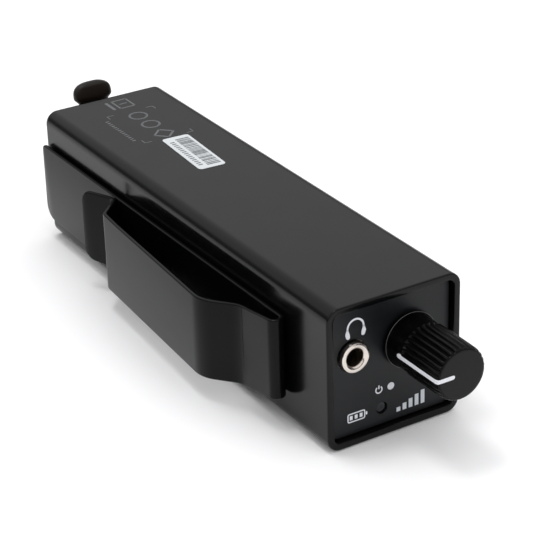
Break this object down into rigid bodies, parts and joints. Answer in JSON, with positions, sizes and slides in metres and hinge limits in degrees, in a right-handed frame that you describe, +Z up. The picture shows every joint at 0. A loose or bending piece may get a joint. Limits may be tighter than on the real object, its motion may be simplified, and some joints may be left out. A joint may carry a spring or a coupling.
{
  "type": "belt headphone amplifier",
  "caption": "Pocket-size square metal amplifier pack with a belt clip, volume knob, headphone socket, battery light and a latching rear microphone and line input.",
  "frame": {"origin": "centre of the whole object's footprint box, at the underside of the sleeve", "axes": "+X to the right seen from the knob end, away from the belt clip; +Y from the knob end towards the rear socket; +Z up"},
  "size_m": [0.0386, 0.1364, 0.0319],
  "materials": {
    "anodised": "satin black anodised aluminium",
    "panel": "fine matte black anodised plate",
    "clip_steel": "black coated spring steel strip, satin",
    "knob": "matte black moulded plastic with fine ribs",
    "pointer": "white inlay",
    "nickel": "polished nickel plate",
    "steel": "plain steel",
    "black_steel": "blackened steel",
    "contact": "gold plated contact metal",
    "plastic": "black moulded plastic",
    "board": "green glass fibre circuit board",
    "can": "bare aluminium capacitor can",
    "cell": "printed foil sleeve of a small battery",
    "lens": "dark unlit light lens",
    "label": "white paper label",
    "red_lead": "red wire insulation",
    "black_lead": "black wire insulation"
  },
  "bodies": {
    "case": {"amplifier_chip": "plastic", "battery_bridge": "contact", "battery_contact_lower": "contact", "battery_contact_upper": "contact", "battery_lead_black": "black_lead", "battery_lead_red": "red_lead", "battery_light": "lens", "battery_lower": "cell", "battery_spring_front": "contact", "battery_spring_rear": "contact", "battery_tray": "plastic", "battery_upper": "cell", "capacitor_1": "can", "capacitor_2": "can", "capacitor_3": "can", "clip_base": "clip_steel", "clip_screw_1": "black_steel", "clip_screw_2": "black_steel", "front_board": "board", "front_panel": "panel", "headphone_jack_body": "plastic", "headphone_jack_bush": "nickel", "input_lead_1": "black_lead", "input_lead_2": "black_lead", "input_lead_3": "black_lead", "jack_ring_contact": "contact", "jack_tip_contact": "contact", "lever_pin": "steel", "lever_spring": "steel", "main_board": "board", "mode_switch_body": "steel", "panel_screw_1": "black_steel", "panel_screw_2": "black_steel", "power_coil": "plastic", "rear_panel": "panel", "serial_label": "label", "sleeve": "anodised", "socket_contact_1": "contact", "socket_contact_2": "contact", "socket_contact_3": "contact", "socket_core": "plastic", "socket_shell": "plastic", "volume_pot_body": "steel", "volume_pot_bushing": "black_steel", "volume_pot_nut": "black_steel", "volume_pot_washer": "black_steel"},
    "volume_control": {"volume_shaft": "steel", "volume_knob": "knob", "knob_pointer": "pointer"},
    "clip_spring": {"clip_tongue": "clip_steel"},
    "battery_cover": {"battery_door": "plastic"},
    "mode_slider": {"mode_switch_slider": "plastic"},
    "release_latch": {"release_lever": "plastic"}
  },
  "joints": [
    {"name": "volume_turn", "type": "hinge", "parent": "case", "child": "volume_control", "pos_m": [0.0083, -0.05129, 0.0183], "axis": [0, 1, 0], "range_deg": [-69, 231]},
    {"name": "clip_flex", "type": "hinge", "parent": "case", "child": "clip_spring", "pos_m": [-0.0118, -0.03724, 0.0133], "axis": [0, 0, 1], "range_deg": [0, 7], "stiffness_Nm_per_rad": 5, "springref_deg": -1.15},
    {"name": "release_press", "type": "hinge", "parent": "case", "child": "release_latch", "pos_m": [0.0046, 0.04416, 0.0256], "axis": [-1, 0, 0], "range_deg": [0, 6], "stiffness_Nm_per_rad": 0.2, "springref_deg": -5.73},
    {"name": "battery_cover_swing", "type": "hinge", "parent": "case", "child": "battery_cover", "pos_m": [0.01935, 0.02216, 0.01475], "axis": [0, 0, 1], "range_deg": [0, 100]},
    {"name": "mode_slide", "type": "slide", "parent": "case", "child": "mode_slider", "axis": [0, 0, 1], "range_m": [0, 0.003]}
  ]
}
